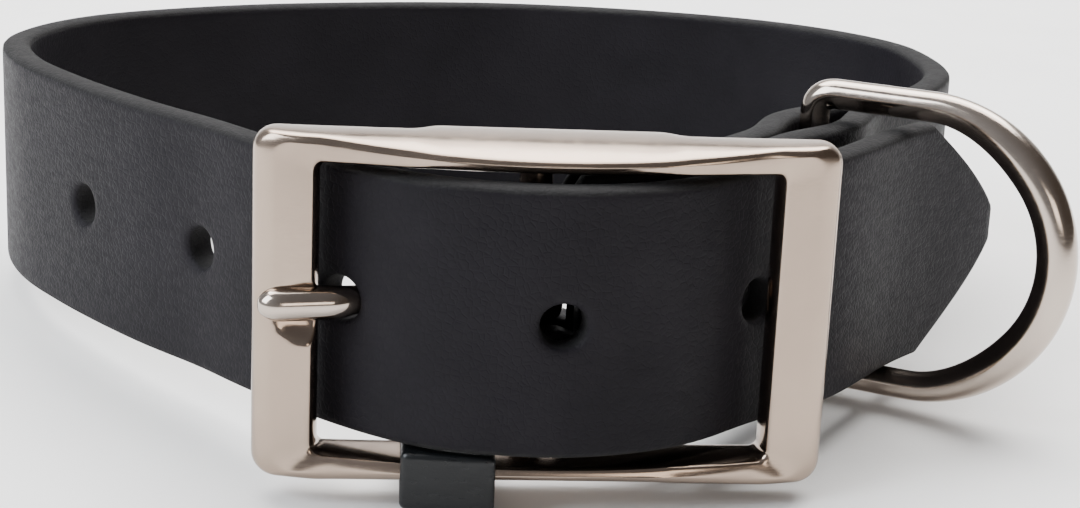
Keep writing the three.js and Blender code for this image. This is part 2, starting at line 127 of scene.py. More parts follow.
# The buckle's frame across one bar, from the back of its outer side round to the back again:
# what the distance is measured from, the distance, and the depth behind the bar's front.
# The distance is in millimetres from the outer edge or from the window's edge, or it is a share
# of the way from the outer edge to the window.
FROM_OUTSIDE, FROM_WINDOW, AS_SHARE = "outside", "window", "share"
FRAME_SECTION = [
    (FROM_OUTSIDE, 0, 2.4), (FROM_OUTSIDE, 0, 1.5), (FROM_OUTSIDE, 0.09, 0.95),
    (FROM_OUTSIDE, 0.3, 0.5), (FROM_OUTSIDE, 0.62, 0.2), (FROM_OUTSIDE, 1.05, 0.05),
    (AS_SHARE, 0.3, 0), (AS_SHARE, 0.36, 0), (AS_SHARE, 0.48, 0), (AS_SHARE, 0.6, 0.02),
    (FROM_WINDOW, 1.15, 0.1), (FROM_WINDOW, 0.85, 0.2), (FROM_WINDOW, 0.55, 0.42),
    (FROM_WINDOW, 0.3, 0.72), (FROM_WINDOW, 0.1, 1.15), (FROM_WINDOW, 0, 1.7),
    (FROM_WINDOW, 0, 2.6), (FROM_WINDOW, 0.15, 3.3), (FROM_WINDOW, 0.7, 3.6),
    (AS_SHARE, 0.5, 3.6), (FROM_OUTSIDE, 0.7, 3.6), (FROM_OUTSIDE, 0.15, 3.25),
]

# D-ring and keeper loop
RING_WIRE = 4
RING_ARC_WIRE = 5.3
RING_SWELL_LENGTH = 15
RING_INSIDE = 34
RING_REACH = 32.8
RING_CORNER = 3
RING_FROM_BAR = 57
RING_OPEN = math.radians(-25)
RING_RISE = 0.5
POCKET_LENGTH = 27
KEEPER_WIDTH = 11
KEEPER_LEATHER = 1.1
KEEPER_SLACK = 0.9
KEEPER_CENTRE = -11
KEEPER_INNER_CORNER = 0.25
KEEPER_OUTER_CORNER = 0.75

GAP = 0.35

# The lean and the move from the upright collar to the resting one
TILT = math.radians(-3.4829785659)
SHIFT = Vector((7.746983, -67.759671, 8.265922))

# Light panels in metres: name, place, aim, size, watts and tint
PANELS = [
    ("window_left", (-0.85, -0.4, 0.7), (0, 0, 0.02), (0.7, 0.8), 18, (0.88, 0.94, 1)),
    ("overhead", (0, 0.35, 1.0), (0, 0.05, 0), (1.4, 0.8), 24, (1, 0.985, 0.965)),
    ("front_fill", (0.45, -1.0, 0.3), (0, 0, 0.02), (0.4, 0.25), 1.2, (1, 0.9, 0.8)),
    ("floor_wash", (0, 0.9, 1.3), (0, 0.8, 0), (2.2, 1.2), 40, (1, 1, 1)),
]
WINDOW_SIDE = (0.62, 0.65, 0.7, 1)
DIM_SIDE = (0.14, 0.12, 0.105, 1)
ROOM_STRENGTH = 0.8

# Floor and backdrop in metres
FLOOR_HALF_WIDTH = 3
FLOOR_FRONT = -2.5
FLOOR_BACK = 1.2
BACKDROP_RADIUS = 0.7
BACKDROP_TOP = 3
FLOOR_DROP = 0.0003

# The camera, fitted to the photograph
CAMERA_PLACE = (0.01281, -0.28635, 0.10732)
CAMERA_PITCH = math.radians(19.02)
CAMERA_ROLL = math.radians(2.95)
LENS_LENGTH = 68.93
LENS_SHIFT = (-0.048, 0.008)

# The collar's plan as guide points from the tail's tip round to the buckle's centre bar: shares
# of the loop's size, or of half the buckle's length for FRONT_PLAN and BASE_PLAN
TAIL_PLAN = [(0.53, 0.585), (0.442, 0.455), (0.353, 0.347), (0.318, 0.298), (0.252, 0.189)]
FRONT_PLAN = [
    (0.705, 0.43), (0.495, 0.2), (0.31, 0.08), (0.06, 0), (-0.24, 0.004), (-0.45, 0.062),
    (-0.735, 0.245),
]
LOOP_PLAN = [
    (-0.261, 0.134), (-0.314, 0.189), (-0.39, 0.26), (-0.488, 0.37), (-0.553, 0.462),
    (-0.591, 0.567), (-0.582, 0.66), (-0.541, 0.748), (-0.455, 0.835), (-0.336, 0.914),
    (-0.102, 1), (0.152, 0.994), (0.296, 0.936), (0.382, 0.843), (0.408, 0.748), (0.41, 0.65),
    (0.374, 0.542), (0.323, 0.451), (0.264, 0.346), (0.205, 0.24), (0.147, 0.15),
]
BASE_PLAN = [(0.43, 0.19), (0.22, 0.045)]

HALF_STRAP = STRAP_WIDTH / 2
HALF_BUCKLE = BUCKLE_LENGTH / 2
KEEPER_ROOM = KEEPER_LEATHER + 2 * GAP
WINDOW_HEIGHT = STRAP_WIDTH + KEEPER_ROOM + WINDOW_GAP_ABOVE
WINDOW_MIDDLE = (STRAP_WIDTH + WINDOW_GAP_ABOVE - KEEPER_ROOM) / 2
FRAME_HEIGHT = WINDOW_HEIGHT + 2 * RAIL_HEIGHT
FOLD_RADIUS = BAR_DIAMETER / 2 + GAP + LEATHER / 2
LAYER_PITCH = LEATHER + GAP
FACE_Y = FRAME_BOW + CROWN_PROUD - LEATHER / 2
BAR_Y = FRAME_DEPTH + BOSS_DEPTH - BAR_DIAMETER / 2
PRONG_HEIGHT = HALF_STRAP - WINDOW_MIDDLE


def bow(x):
    """How far the frame's front bows towards the viewer at x."""
    return FRAME_BOW * (1 - min(abs(x) / HALF_BUCKLE, 1) ** 2)


def smooth(share):
    """A soft step from 0 to 1."""
    share = min(max(share, 0), 1)
    return share * share * (3 - 2 * share)


def boss(x):
    """How much deeper the rails are round the centre bar."""
    return BOSS_DEPTH * smooth((BOSS_LENGTH / 2 - abs(x)) / BOSS_RAMP)


def to_room(x, y, z):
    """A place of the upright collar, in metres where the collar rests."""
    point = Matrix.Rotation(TILT, 3, "X") @ Vector((x, y, z)) + SHIFT
    return point / 1000


def from_buckle(x, y, z=0):
    """A place of the buckle's own frame in the upright collar."""
    return (
        x * math.cos(BUCKLE_TURN) - y * math.sin(BUCKLE_TURN),
        x * math.sin(BUCKLE_TURN) + y * math.cos(BUCKLE_TURN) + FACE_Y,
        z + WINDOW_MIDDLE,
    )


class Line:
    """A plan line that gives its place and its inward side at any distance."""

    def __init__(self, points):
        self.points = np.array(points, float)
        steps = np.linalg.norm(np.diff(self.points, axis=0), axis=1)
        self.far = np.concatenate([[0], np.cumsum(steps)])
        self.length = self.far[-1]
        ahead = np.vstack([self.points[1:], self.points[-1:]])
        behind = np.vstack([self.points[:1], self.points[:-1]])
        heading = ahead - behind
        self.heading = heading / np.linalg.norm(heading, axis=1)[:, None]

    def at(self, distance):
        place = np.array([np.interp(distance, self.far, self.points[:, k]) for k in (0, 1)])
        turn = np.array([np.interp(distance, self.far, self.heading[:, k]) for k in (0, 1)])
        turn /= np.linalg.norm(turn)
        return place, np.array([turn[1], -turn[0]])


def smooth_curve(guide, stop, count):
    """A centripetal Catmull-Rom line through the guide points."""
    guide = np.array(guide, float)
    last = len(guide) - 1
    ends = np.vstack([2 * guide[0] - guide[1], guide, 2 * guide[-1] - guide[-2]])
    points = []
    for i in range(count + 1):
        share = last * stop * i / count
        low = min(int(share), last - 1)
        t = share - low
        a, b, c, d = ends[low : low + 4]
        ab, bc, cd = (math.sqrt(np.linalg.norm(q)) for q in (b - a, c - b, d - c))
        start = ((b - a) / ab - (c - a) / (ab + bc) + (c - b) / bc) * bc
        end = ((c - b) / bc - (d - b) / (bc + cd) + (d - c) / cd) * bc
        points.append(
            b + start * t + (3 * (c - b) - 2 * start - end) * t**2
            + (2 * (b - c) + start + end) * t**3
        )
    return np.array(points)


BAR_PLACE = np.array(from_buckle(BAR_OFFSET, BAR_Y)[:2])


def outer_run():
    """The middle of the leather from the tail's tip to the front of the fold."""
    front = BAR_PLACE - (0, FOLD_RADIUS)
    guide = [(x * LOOP_WIDTH, y * LOOP_DEPTH) for x, y in TAIL_PLAN]
    guide += [(x * HALF_BUCKLE, y * HALF_BUCKLE) for x, y in FRONT_PLAN]
    guide += [(x * LOOP_WIDTH, y * LOOP_DEPTH) for x, y in LOOP_PLAN]
    guide += [tuple(front + (x * HALF_BUCKLE, y * HALF_BUCKLE)) for x, y in BASE_PLAN]
    guide += [tuple(front), tuple(front - (FOLD_RADIUS, 0))]
    stop = (len(guide) - 2) / (len(guide) - 1)
    return Line(smooth_curve(guide, stop, PLAN_STEPS))


def pocket(distance):
    """How far each layer swells away from the D-ring's bar."""
    share = abs(distance) / (POCKET_LENGTH / 2)
    if share >= 1:
        return 0
    return (RING_WIRE + GAP) / 2 * math.cos(share * math.pi / 2) ** 2


RUN = outer_run()


def whole_line():
    """The run, the fold round the centre bar, and the layer turned back inside."""
    points = []
    for point, far in zip(RUN.points, RUN.far):
        inward = RUN.at(far)[1]
        points.append(point - inward * pocket(RUN.length - far - RING_FROM_BAR))
    for i in range(1, FOLD_STEPS + 1):
        angle = -math.pi / 2 - math.pi * i / FOLD_STEPS
        points.append(BAR_PLACE + FOLD_RADIUS * np.array([math.cos(angle), math.sin(angle)]))
    for d in np.arange(RETURN_STEP, RETURN_LENGTH + 0.01, RETURN_STEP):
        place, inward = RUN.at(RUN.length - d)
        still_open = (2 * FOLD_RADIUS - LAYER_PITCH) * (1 - smooth(d / LAYERS_CLOSE_OVER))
        points.append(place + inward * (LAYER_PITCH + still_open + pocket(d - RING_FROM_BAR)))
    return Line(points)


LINE = whole_line()


def crossing(x):
    """The distance along the strap where it passes x in the buckle's window."""
    here = (LINE.points[:, 1] < LOOP_DEPTH * 0.2) & (LINE.far < LINE.length / 2)
    off = np.where(here, np.abs(LINE.points[:, 0] - x), np.inf)
    return LINE.far[off.argmin()]


PRONG_HOLE_AT = crossing(-WINDOW_LENGTH / 2 + HOLE_DIAMETER * 0.65)
TIP_AT = PRONG_HOLE_AT - 2 * HOLE_PITCH - TIP_TO_FIRST_HOLE
FOLD_AT = LINE.far[len(RUN.points) - 1] + math.pi * FOLD_RADIUS / 2
SLOT_REACH = math.pi * FOLD_RADIUS / 2 + SLOT_PAST_FOLD


def half_width(s):
    """Half the strap's width at a distance: pointed at the tail, narrow at the fold."""
    half = HALF_STRAP
    if s - TIP_AT < TIP_LENGTH:
        share = max((s - TIP_AT) / TIP_LENGTH, 0)
        half = min(TIP_NOSE / 2 + (HALF_STRAP - TIP_NOSE / 2) * share**TIP_FULLNESS, HALF_STRAP)
    from_fold = abs(s - FOLD_AT) - math.pi * FOLD_RADIUS / 2 - FOLD_TAB_LENGTH
    narrow = 1 - smooth(from_fold / FOLD_SHOULDER)
    return half - narrow * (HALF_STRAP - FOLD_TAB_WIDTH / 2)


class Builder:
    """Collects points and faces, then makes one object.

    A leather point also says how far it is a cut edge, and where it lies on the flat leather.
    """

    def __init__(self):
        self.points, self.faces, self.edge, self.along = [], [], [], []

    def add(self, point, edge=0.0, along=(0, 0, 0)):
        self.points.append(tuple(point))
        self.edge.append(edge)
        self.along.append(tuple(v / 1000 for v in along))
        return len(self.points) - 1

    def face(self, *corners):
        self.faces.append(corners)

    def skin(self, rows, closed=True):
        """Joins rows of points, each of which closes on itself; closed joins last to first."""
        for a, b in zip(rows, rows[1:] + rows[:1] if closed else rows[1:]):
            for i in range(len(a)):
                j = (i + 1) % len(a)
                self.face(a[i], a[j], b[j], b[i])

    def rod(self, rows):
        """A skin with both its ends closed."""
        self.skin(rows, closed=False)
        self.face(*rows[0])
        self.face(*rows[-1])

    def make(self, name, material, body, nodes=(), level=0):
        mesh = bpy.data.meshes.new(name)
        mesh.from_pydata(self.points, [], self.faces)
        mesh.validate()
        mesh.shade_smooth()
        edge = mesh.attributes.new("edge", "FLOAT", "POINT")
        edge.data.foreach_set("value", self.edge)
        along = mesh.attributes.new("along", "FLOAT_VECTOR", "POINT")
        along.data.foreach_set("vector", np.array(self.along, float).ravel())
        made = bpy.data.objects.new(name, mesh)
        bpy.context.collection.objects.link(made)
        face_outward(mesh)
        made.data.materials.append(material)
        if level:
            sub = made.modifiers.new("smooth", "SUBSURF")
            sub.levels = sub.render_levels = level
        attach(made, body)
        if nodes:
            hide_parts(*nodes)
        return made


def face_outward(mesh):
    work = bmesh.new()
    work.from_mesh(mesh)
    bmesh.ops.recalc_face_normals(work, faces=work.faces)
    work.to_mesh(mesh)
    work.free()


def strap_stations():
    """Distances along the strap, each hole's first station and middle, and the slot's stations."""
    holes = [PRONG_HOLE_AT + k * HOLE_PITCH for k in range(-2, 3)]
    slot = (FOLD_AT - SLOT_REACH, FOLD_AT + SLOT_REACH)
    stops = [TIP_AT, TIP_AT + TIP_LENGTH]
    for hole in holes:
        stops += [hole - HOLE_BLOCK, hole + HOLE_BLOCK]
    stops += [*slot, LINE.length]
    places, blocks = [], {}
    for low, high in zip(stops, stops[1:]):
        if high - low < 2 * HOLE_BLOCK + 0.01 and any(low < h < high for h in holes):
            blocks[len(places)] = (low + high) / 2
            steps = HOLE_CELLS
        elif low == slot[0]:
            slot_cells = (len(places), len(places) + SLOT_CELLS)
            steps = SLOT_CELLS
        else:
            cell = TIP_CELL if low == TIP_AT else STRAP_CELL
            steps = max(1, round((high - low) / cell))
        places += list(np.linspace(low, high, steps, endpoint=False))
    places.append(stops[-1])
    return places, blocks, slot_cells


def leather_place(s, v, depth):
    """A place in the leather: along it, up from its middle and inward from its middle."""
    place, inward = LINE.at(s)
    x, y = place + inward * depth
    return to_room(x, y, HALF_STRAP + v)


def build_strap(material):
    made = Builder()
    places, blocks, slot_cells = strap_stations()
    half = LEATHER / 2
    outer, inner, tops, bottoms = [], [], [], []

    def point(s, v, depth, edge=0.0):
        return made.add(leather_place(s, v, depth), edge, (s, v, depth))

    for s in places:
        width = half_width(s)
        flat = max(width - EDGE_ROUND, 0.25) / (HALF_STRAP - EDGE_ROUND)
        round_v = min(EDGE_ROUND, width - 0.2)
        nose = min((s - TIP_AT + TIP_END_DEPTH) / TIP_THINNING, 1)
        thick = half * math.sqrt(1 - (1 - nose) ** 2)
        outer.append([point(s, v * flat, -thick) for v in ROWS])
        inner.append([point(s, v * flat, thick) for v in ROWS])
        for side, rows in ((1, tops), (-1, bottoms)):
            start = side * (HALF_STRAP - EDGE_ROUND) * flat
            arc = []
            for k in range(1, EDGE_TURNS):
                angle = math.pi * (k / EDGE_TURNS - 0.5)
                depth = thick * math.copysign(abs(math.sin(angle)) ** 0.75, angle)
                v = start + side * round_v * math.cos(angle) ** 0.7
                arc.append(point(s, v, depth, min(1, 0.45 + 1.2 * math.cos(angle))))
            rows.append(arc)

    def in_cut(i, j):
        for first in blocks:
            if first <= i < first + HOLE_CELLS and BLOCK_ROWS[0] <= j < BLOCK_ROWS[1]:
                return True
        return slot_cells[0] <= i < slot_cells[1] and SLOT_ROWS[0] <= j < SLOT_ROWS[1]

    last = len(places) - 1
    for i in range(last):
        for j in range(len(ROWS) - 1):
            if not in_cut(i, j):
                made.face(outer[i][j], outer[i][j + 1], outer[i + 1][j + 1], outer[i + 1][j])
                made.face(inner[i][j], inner[i + 1][j], inner[i + 1][j + 1], inner[i][j + 1])
        for rows, j in ((tops, -1), (bottoms, 0)):
            here = [outer[i][j], *rows[i], inner[i][j]]
            there = [outer[i + 1][j], *rows[i + 1], inner[i + 1][j]]
            for k in range(len(here) - 1):
                made.face(here[k], here[k + 1], there[k + 1], there[k])
    for i in (0, last):
        made.face(*outer[i], *tops[i], *reversed(inner[i]), *reversed(bottoms[i]))

    def border(first, stop, low, high):
        """The stations and rows round a cut block, in order."""
        cells = [(i, low) for i in range(first, stop)] + [(stop, j) for j in range(low, high)]
        cells += [(i, high) for i in range(stop, first, -1)]
        return cells + [(first, j) for j in range(high, low, -1)]

    for first, centre in blocks.items():
        takes_prong = abs(centre - PRONG_HOLE_AT) < 1
        reach_v = HOLE_DIAMETER / 2
        reach_s = reach_v + (PRONG_HOLE_STRETCH if takes_prong else 0)
        cells = border(first, first + HOLE_CELLS, *BLOCK_ROWS)
        angles = [math.atan2(ROWS[j], places[i] - centre) for i, j in cells]
        rows = [[outer[i][j] for i, j in cells]]
        for side, grow, sink in HOLE_WALL:
            ring = []
            for angle in angles:
                s = (reach_s + grow) * math.cos(angle)
                v = (reach_v + grow) * math.sin(angle)
                ring.append(point(centre + s, v, side * (half - sink), min(1.0, sink * 1.1)))
            rows.append(ring)
        rows.append([inner[i][j] for i, j in cells])
        made.skin(rows, closed=False)

    # The slot in the fold for the prong's eye
    cells = border(*slot_cells, *SLOT_ROWS)
    made.skin([[grid[i][j] for i, j in cells] for grid in (outer, inner)], closed=False)
    return made.make("strap_leather", material, "collar", ["strap"])


def rounded_loop(width, height, radius, along_x, along_z, turns):
    """A rounded rectangle's points; their number doesn't depend on its size."""
    x, z = width / 2 - radius, height / 2 - radius
    centres = [(x, z, 0), (-x, z, 1), (-x, -z, 2), (x, -z, 3)]
    points = []
    for k, (cx, cz, quarter) in enumerate(centres):
        for i in range(turns + 1):
            angle = math.pi / 2 * (quarter + i / turns)
            points.append((cx + radius * math.cos(angle), cz + radius * math.sin(angle)))
        nx, nz, _ = centres[(k + 1) % 4]
        angle = math.pi / 2 * (quarter + 1)
        start = np.array(points[-1])
        goal = np.array([nx + radius * math.cos(angle), nz + radius * math.sin(angle)])
        count = along_x if quarter % 2 == 0 else along_z
        for i in range(1, count):
            points.append(tuple(start + (goal - start) * i / count))
    return np.array(points)


def circle(count):
    """The cosine and sine of even turns."""
    turns = np.linspace(0, 2 * math.pi, count, endpoint=False)
    return [(math.cos(t), math.sin(t)) for t in turns]


def build_frame(material):
    made = Builder()
    cells = (96, 72, 8)
    outside = rounded_loop(BUCKLE_LENGTH, FRAME_HEIGHT, CORNER_RADIUS, *cells)
    inside = rounded_loop(WINDOW_LENGTH, WINDOW_HEIGHT, WINDOW_CORNER, *cells)
    wide = np.linalg.norm(inside - outside, axis=1)
    rows = []
    for start, far, depth in FRAME_SECTION:
        ring = []
        for out, into, width in zip(outside, inside, wide):
            # The rails' edges are sharper towards their middle
            across = min(abs(out[0]) / (WINDOW_LENGTH / 2), 1)
            near = far * (1 - RAIL_CRISPNESS * (1 - across**2)) / width
            share = {FROM_OUTSIDE: near, FROM_WINDOW: 1 - near, AS_SHARE: far}[start]
            x, z = out + (into - out) * share
            forward = 1 - min(max(depth / FRAME_DEPTH, 0), 1)
            # The rails' outer sides slope back from a crown
            across = min(abs(x) / (WINDOW_LENGTH / 2), 1)
            past = (abs(z) - WINDOW_HEIGHT / 2) / RAIL_HEIGHT
            lean = smooth((past - 0.35) / 0.45) * RAIL_CROWN * (1 - across**2)
            z -= math.copysign(lean * max(forward - 0.5, 0) * 2, z)
            y = depth + boss(x) * (1 - forward) - bow(x) * forward
            if depth < 1:
                ridge = min(share / SIDE_RIDGE_LINE, (1 - share) / (1 - SIDE_RIDGE_LINE))
                y -= SIDE_RIDGE * ridge * smooth((abs(x) - SIDE_RIDGE_FROM) / SIDE_RIDGE_RAMP)
            # The dish that the prong rests in is part of an ellipsoid
            dish_x = (x + WINDOW_LENGTH / 2) / DISH[0]
            dish_z = (z - PRONG_HEIGHT + DISH_DROP) / DISH[2]
            within = 1 - dish_x**2 - dish_z**2
            if within > 0 and depth < 2.5:
                y = max(y, -bow(WINDOW_LENGTH / 2) + DISH[1] * (math.sqrt(within) - 1 / 3))
            ring.append(made.add(to_room(*from_buckle(x, y, z))))
        rows.append(ring)
    made.skin(rows)
    radius = BAR_DIAMETER / 2
    made.rod([
        [
            made.add(to_room(*from_buckle(BAR_OFFSET + radius * c, BAR_Y + radius * s, z)))
            for c, s in circle(32)
        ]
        for z in [(k / 8 - 0.5) * (WINDOW_HEIGHT + RAIL_HEIGHT) for k in range(9)]
    ])
    return made.make("buckle_cast_frame", material, "collar", ["buckle_frame"], 1)


def build_prong(material):
    made = Builder()
    root = np.array([BAR_OFFSET, BAR_Y, PRONG_HEIGHT])
    tip = np.array([-HALF_BUCKLE + PRONG_TIP_INSET, PRONG_REST, PRONG_HEIGHT])
    reach = np.linalg.norm(tip - root)
    along = (tip - root) / reach
    side = np.array([-along[1], along[0], 0])
    up = np.array([0, 0, 1])
    radius = PRONG_DIAMETER / 2
    start = BAR_DIAMETER / 2 + GAP + 0.3
    nose = PRONG_NOSE * radius
    stops = list(np.linspace(start, reach - nose, 26))
    stops += [reach - nose + nose * math.sin(math.pi / 2 * k / 7) for k in range(1, 7)]
    rows = []
    for d in stops:
        past = max(d - (reach - nose), 0) / nose
        widened = smooth((d - PRONG_WIDENS[0]) / PRONG_WIDENS[1])
        size = radius * math.sqrt(max(1 - past**2, 0.0004))
        size *= PRONG_ROOT_SHARE + (1 - PRONG_ROOT_SHARE) * widened
        dips = smooth((PRONG_DIPS_BEFORE[0] - d) / PRONG_DIPS_BEFORE[1])
        rises = smooth((PRONG_RISES_BEFORE[0] - d) / PRONG_RISES_BEFORE[1])
        middle = root + along * d + np.array([0, PRONG_DIP * (dips - rises), 0])
        rows.append([
            made.add(to_room(*from_buckle(*(middle + side * size * c + up * size * s))))
            for c, s in circle(32)
        ])
    made.rod(rows)

    low = BAR_DIAMETER / 2 + GAP
    high = low + PRONG_EYE_WALL
    half = PRONG_EYE_WIDTH / 2
    section = [(low, -half + 0.3), (low + 0.3, -half), (high - 0.5, -half), (high, -half + 0.5)]
    section += [(r, -z) for r, z in reversed(section)]
    made.skin([
        [
            made.add(to_room(*from_buckle(BAR_OFFSET + r * c, BAR_Y + r * s, PRONG_HEIGHT + z)))
            for r, z in section
        ]
        for c, s in circle(40)
    ])
    return made.make("prong_bar", material, "collar", ["prong"], 1)


def ring_path(half, limb):
    """The middle of the D-ring's wire: its bar, a corner, a limb, the arc and back."""
    turn = half - RING_CORNER
    limb_stops = np.linspace(RING_CORNER, limb, 12, endpoint=False)
    corner_stops = np.linspace(0, 1, 14, endpoint=False)
    path = [(0, z) for z in np.linspace(-turn, turn, 24, endpoint=False)]
    path += [(RING_CORNER * t * t, half - RING_CORNER * (1 - t) ** 2) for t in corner_stops]
    path += [(x, half) for x in limb_stops]
    for t in np.linspace(math.pi / 2, -math.pi / 2, 65):
        path.append((limb + half * math.cos(t), half * math.sin(t)))
    path += [(x, -half) for x in np.linspace(limb, RING_CORNER, 12, endpoint=False)[1:]]
    for t in np.linspace(1, 0, 14, endpoint=False):
        path.append((RING_CORNER * t * t, -half + RING_CORNER * (1 - t) ** 2))
    return np.array(path)


def build_ring(material):
    made = Builder()
    half = (RING_INSIDE + RING_WIRE) / 2
    limb = RING_REACH + RING_WIRE / 2 - half
    path = ring_path(half, limb)
    heading = np.roll(path, -1, 0) - np.roll(path, 1, 0)
    heading /= np.linalg.norm(heading, axis=1)[:, None]
    place, inward = RUN.at(RUN.length - RING_FROM_BAR)
    origin = np.array([*(place + inward * LAYER_PITCH / 2), HALF_STRAP + RING_RISE])
    across = np.array([math.cos(RING_OPEN), math.sin(RING_OPEN), 0])
    face = np.array([-across[1], across[0], 0])
    up = np.array([0, 0, 1])
    rows = []
    for (x, z), (hx, hz) in zip(path, heading):
        out = across * hz - up * hx
        # The arc thickens inward, so that its outer outline stays
        thicker = (RING_ARC_WIRE - RING_WIRE) / 2 * smooth((x - limb) / RING_SWELL_LENGTH)
        shift = thicker * np.array([x - limb, z]) / math.hypot(x - limb, z)
        middle = origin + across * (x - shift[0]) + up * (z - shift[1])
        radius = RING_WIRE / 2 + thicker
        rows.append([
            made.add(to_room(*(middle + radius * (out * c + face * s)))) for c, s in circle(28)
        ])
    made.skin(rows)
    return made.make("d_ring_wire", material, "d_ring", ["d_ring"])


def build_keeper(material):
    made = Builder()
    low = -WINDOW_HEIGHT / 2 - RAIL_HEIGHT - KEEPER_SLACK
    high = -WINDOW_HEIGHT / 2 + GAP
    front, rear = -GAP, FRAME_DEPTH + BOSS_DEPTH + GAP
    middle = ((front + rear) / 2, (low + high) / 2)
    layers = []
    for grow, radius in ((0, KEEPER_INNER_CORNER), (KEEPER_LEATHER, KEEPER_OUTER_CORNER)):
        ring = rounded_loop(rear - front + 2 * grow, high - low + 2 * grow, radius, 10, 10, 5)
        layers.append(ring + middle)
    # Across the loop, over its outer face and back under it: the share of its width, the layer
    # (0 inside, 1 outside), and how far towards the other layer
    section = [(t, 1, 0) for t in np.linspace(-0.44, 0.44, 12)]
    section += [(0.475, 1, 0.12), (0.5, 1, 0.45), (0.5, 0, 0.3), (0.48, 0, 0.05)]
    section += [(t, 0, 0) for t in np.linspace(0.44, -0.44, 4)]
    section += [(-0.48, 0, 0.05), (-0.5, 0, 0.3), (-0.5, 1, 0.45), (-0.475, 1, 0.12)]
    rows = []
    for i, places in enumerate(zip(*layers)):
        ring = []
        for t, layer, sink in section:
            y, z = places[layer] + (places[1 - layer] - places[layer]) * sink
            x = KEEPER_CENTRE + KEEPER_WIDTH * t
            if y < FRAME_DEPTH / 2:
                y -= bow(x)
            edge = 1.0 if abs(t) > 0.478 else 0.0
            ring.append(made.add(to_room(*from_buckle(x, y, z)), edge, (x, i, sink)))
        rows.append(ring)
    made.skin(rows)
    return made.make(
        "keeper_leather_loop", material, "collar", ["keeper_loop"], 1
    )


def finish_rivets(material):
    """The rivets keep their solids, with a small rounding."""
    for name in ("rivet_by_buckle", "rivet_by_ring"):
        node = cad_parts[name]
        node.data.materials.clear()
        node.data.materials.append(material)
        node.data.shade_smooth()
        round_off = node.modifiers.new("round", "BEVEL")
        round_off.width = 0.0003
        round_off.segments = 3


class Nodes:
    """Short calls for building a material's node tree."""

    def __init__(self, name):
        self.material = bpy.data.materials.new(name)
        self.material.use_nodes = True
        self.tree = self.material.node_tree
        self.surface = self.tree.nodes["Principled BSDF"]

    def new(self, kind, **settings):
        node = self.tree.nodes.new("ShaderNode" + kind)
        for key, value in settings.items():
            setattr(node, key, value)
        return node

    def join(self, start, end):
        self.tree.links.new(start, end)

    def attribute(self, name, output):
        return self.new("Attribute", attribute_name=name).outputs[output]

    def scaled(self, vector, scale):
        node = self.new("Mapping")
        node.inputs["Scale"].default_value = scale
        self.join(vector, node.inputs["Vector"])
        return node.outputs["Vector"]

    def noise(self, vector, scale, detail=3.0, rough=0.55):
        node = self.new("TexNoise")
        node.inputs["Scale"].default_value = scale
        node.inputs["Detail"].default_value = detail
        node.inputs["Roughness"].default_value = rough
        self.join(vector, node.inputs["Vector"])
        return node.outputs["Fac"]

    def pores(self, vector, scale):
        node = self.new("TexVoronoi", feature="DISTANCE_TO_EDGE")
        node.inputs["Scale"].default_value = scale
        self.join(vector, node.inputs["Vector"])
        return node.outputs["Distance"]

    def span(self, value, low, high, to_low, to_high):
        node = self.new("MapRange")
        settings = {"From Min": low, "From Max": high, "To Min": to_low, "To Max": to_high}
        for name, setting in settings.items():
            node.inputs[name].default_value = setting
        self.join(value, node.inputs["Value"])
        return node.outputs["Result"]

    def math(self, operation, first, second):
        node = self.new("Math", operation=operation)
        for socket, value in zip(node.inputs, (first, second)):
            if isinstance(value, (int, float)):
                socket.default_value = value
            else:
                self.join(value, socket)
        return node.outputs[0]

    def mixed(self, share, first, second):
        node = self.new("Mix", data_type="RGBA")
        self.join(share, node.inputs["Factor"])
        for socket, value in ((node.inputs["A"], first), (node.inputs["B"], second)):
            if isinstance(value, tuple):
                socket.default_value = (*value, 1)
            else:
                self.join(value, socket)
        return node.outputs["Result"]

    def bump(self, height, strength, distance, under=None):
        node = self.new("Bump")
        node.inputs["Strength"].default_value = strength
        node.inputs["Distance"].default_value = distance
        self.join(height, node.inputs["Height"])
        if under:
            self.join(under, node.inputs["Normal"])
        return node.outputs["Normal"]


def leather_material(name, face, face_light, edge, roughness, shine, pebble):
    """Smooth dyed leather: fine pores, soft mottling, and paler burnished cut edges."""
    n = Nodes(name)
    place = n.new("TexCoord").outputs["Object"]
    along = n.attribute("along", "Vector")
    cut = n.attribute("edge", "Fac")
    mottle = n.noise(place, 70, 4)
    broad = n.noise(place, 14, 2)
    pores = n.pores(place, 1150)
    creases = n.noise(n.scaled(place, (1, 1, 2.2)), 520, 4, 0.65)
    fibres = n.noise(n.scaled(along, (0.25, 1, 3)), 2400, 4, 0.7)

    tone = n.math("MULTIPLY", n.span(mottle, 0.35, 0.68, 0, 1), n.span(broad, 0.3, 0.7, 0.4, 1))
    dyed = n.mixed(tone, face, face_light)
    raw = n.mixed(n.span(fibres, 0.35, 0.65, 0, 1), tuple(v * 0.62 for v in edge), edge)
    ragged = n.math("ADD", cut, n.span(fibres, 0.3, 0.7, -0.22, 0.22))
    share = n.span(ragged, 0.45, 0.85, 0, 1)
    n.join(n.mixed(share, dyed, raw), n.surface.inputs["Base Color"])

    creased = n.span(creases, 0.3, 0.7, roughness - 0.06, roughness + 0.08)
    rougher = n.math("ADD", creased, n.math("MULTIPLY", share, 0.15))
    n.join(rougher, n.surface.inputs["Roughness"])
    n.join(n.span(share, 0, 1, shine, shine * 0.5), n.surface.inputs["Specular IOR Level"])

    fine = n.bump(n.span(pores, 0, 0.16, 0, 1), pebble, 0.00012)
    grain = n.bump(creases, 0.45, 0.00016, fine)
    wavy = n.bump(n.noise(place, 120, 2), 0.12, 0.0006, grain)
    n.join(wavy, n.surface.inputs["Normal"])
    return n.material


